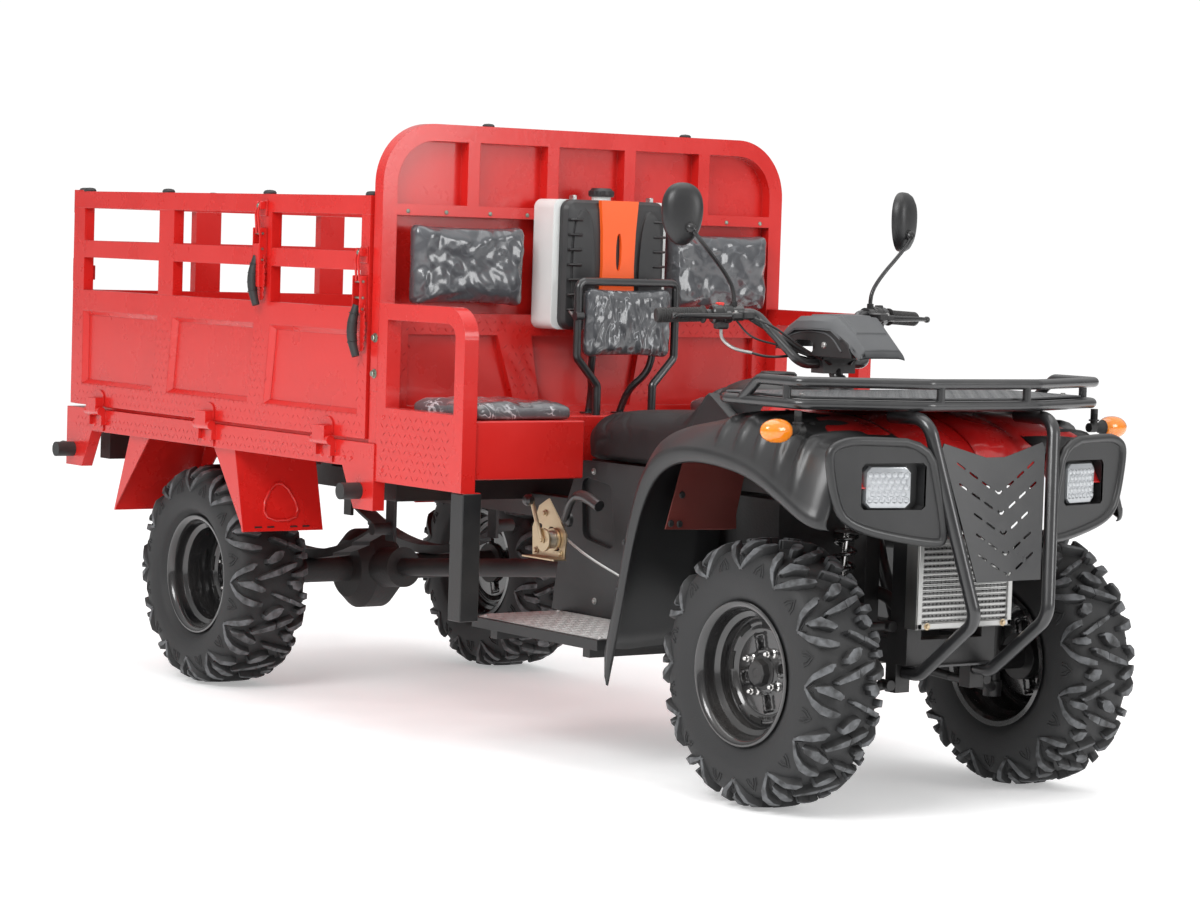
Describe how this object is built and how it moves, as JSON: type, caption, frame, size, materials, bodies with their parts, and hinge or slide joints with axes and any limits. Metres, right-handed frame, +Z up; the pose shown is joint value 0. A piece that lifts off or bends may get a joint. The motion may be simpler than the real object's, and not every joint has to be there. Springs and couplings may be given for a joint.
{
  "type": "utility quad bike",
  "caption": "Four-wheel utility quad bike with a long slatted drop-side cargo bed, a rear bench, a saddle, handlebar steering and a front rack.",
  "frame": {"origin": "centre of the bounding box, on the ground under the tyres", "axes": "+X forward, +Y to the vehicle's left, +Z up"},
  "size_m": [3.5267, 1.466, 1.609],
  "materials": {
    "bed_red": "gloss",
    "frame_black": "satin",
    "tyre": "matte",
    "rim_black": "gloss",
    "moulded_black": "satin",
    "body_red": "gloss",
    "body_black": "gloss",
    "rubber": "matte",
    "seat": "satin",
    "lamp_clear": "clear",
    "amber": "gloss",
    "aluminium": "satin",
    "mirror_black": "gloss",
    "axle_steel": "painted",
    "tank_white": "satin"
  },
  "bodies": {
    "chassis": {"chassis_frame": "frame_black", "front_bumper": "frame_black", "front_guard": "frame_black", "lamp_panels": "moulded_black", "lamps": "lamp_clear", "indicators": "amber", "fender_left": "moulded_black", "fender_right": "moulded_black", "hood": "body_red", "cowl": "body_black", "saddle": "seat", "side_covers": "moulded_black", "footboards": "frame_black", "engine": "aluminium", "radiator": "aluminium", "front_rack": "frame_black", "rack_deck": "frame_black", "rear_axle": "axle_steel", "rear_springs": "axle_steel", "prop_shaft": "axle_steel", "bed_floor": "bed_red", "bed_sills": "bed_red", "buffers": "rubber", "headboard": "bed_red", "bench": "bed_red", "bench_guards": "bed_red", "bench_cushions": "seat", "back_cushions": "seat", "tank": "tank_white", "tank_cover": "body_black", "tank_cap": "moulded_black", "backrest_frame": "frame_black", "backrest_pad": "seat", "mudguards": "bed_red", "front_arms": "axle_steel", "front_shocks": "axle_steel", "hand_brake": "frame_black"},
    "steering": {"handlebar": "frame_black", "grips": "rubber", "bar_controls": "moulded_black", "mirrors": "mirror_black", "instrument_pod": "moulded_black"},
    "knuckle_left": {"knuckle_left": "axle_steel"},
    "knuckle_right": {"knuckle_right": "axle_steel"},
    "track_rod": {"track_rod": "axle_steel"},
    "gate_left": {"gate_left": "bed_red"},
    "gate_right": {"gate_right": "bed_red"},
    "tail_gate": {"tail_gate": "bed_red"},
    "wheel_front_left": {"tyre_front_left": "tyre", "rim_front_left": "rim_black"},
    "wheel_front_right": {"tyre_front_right": "tyre", "rim_front_right": "rim_black"},
    "wheel_rear_left": {"tyre_rear_left": "tyre", "rim_rear_left": "rim_black"},
    "wheel_rear_right": {"tyre_rear_right": "tyre", "rim_rear_right": "rim_black"}
  },
  "joints": [
    {"name": "steer", "type": "hinge", "parent": "chassis", "child": "steering", "pos_m": [1.097, 0, 0.985], "axis": [-0.4067, 0, 0.9135], "range_deg": [-38, 38]},
    {"name": "kingpin_left", "type": "hinge", "parent": "chassis", "child": "knuckle_left", "pos_m": [1.367, 0.305, 0.3175], "axis": [0, 0, 1], "range_deg": [-27, 27]},
    {"name": "kingpin_right", "type": "hinge", "parent": "chassis", "child": "knuckle_right", "pos_m": [1.367, -0.305, 0.3175], "axis": [0, 0, 1], "range_deg": [-27, 27]},
    {"name": "track_rod_slide", "type": "slide", "parent": "chassis", "child": "track_rod", "axis": [0, 1, 0], "range_m": [-0.043, 0.043]},
    {"name": "spin_front_left", "type": "hinge", "parent": "knuckle_left", "child": "wheel_front_left", "pos_m": [1.367, 0.4025, 0.3175], "axis": [0, 1, 0], "continuous": true},
    {"name": "spin_front_right", "type": "hinge", "parent": "knuckle_right", "child": "wheel_front_right", "pos_m": [1.367, -0.4025, 0.3175], "axis": [0, 1, 0], "continuous": true},
    {"name": "spin_rear_left", "type": "hinge", "parent": "chassis", "child": "wheel_rear_left", "pos_m": [-1.051, 0.4935, 0.3175], "axis": [0, 1, 0], "continuous": true},
    {"name": "spin_rear_right", "type": "hinge", "parent": "chassis", "child": "wheel_rear_right", "pos_m": [-1.051, -0.4935, 0.3175], "axis": [0, 1, 0], "continuous": true},
    {"name": "gate_left_fold", "type": "hinge", "parent": "chassis", "child": "gate_left", "pos_m": [-0.837, 0.691, 0.765], "axis": [-1, 0, 0], "range_deg": [0, 162]},
    {"name": "gate_right_fold", "type": "hinge", "parent": "chassis", "child": "gate_right", "pos_m": [-0.837, -0.691, 0.765], "axis": [1, 0, 0], "range_deg": [0, 162]},
    {"name": "tail_gate_fold", "type": "hinge", "parent": "chassis", "child": "tail_gate", "pos_m": [-1.721, 0, 0.765], "axis": [0, -1, 0], "range_deg": [0, 165]}
  ],
  "couplings": [
    {"joint": "kingpin_left", "follows": "steer", "ratio": 0.7},
    {"joint": "kingpin_right", "follows": "steer", "ratio": 0.7},
    {"joint": "track_rod_slide", "follows": "steer", "m_per_rad": -0.063}
  ]
}
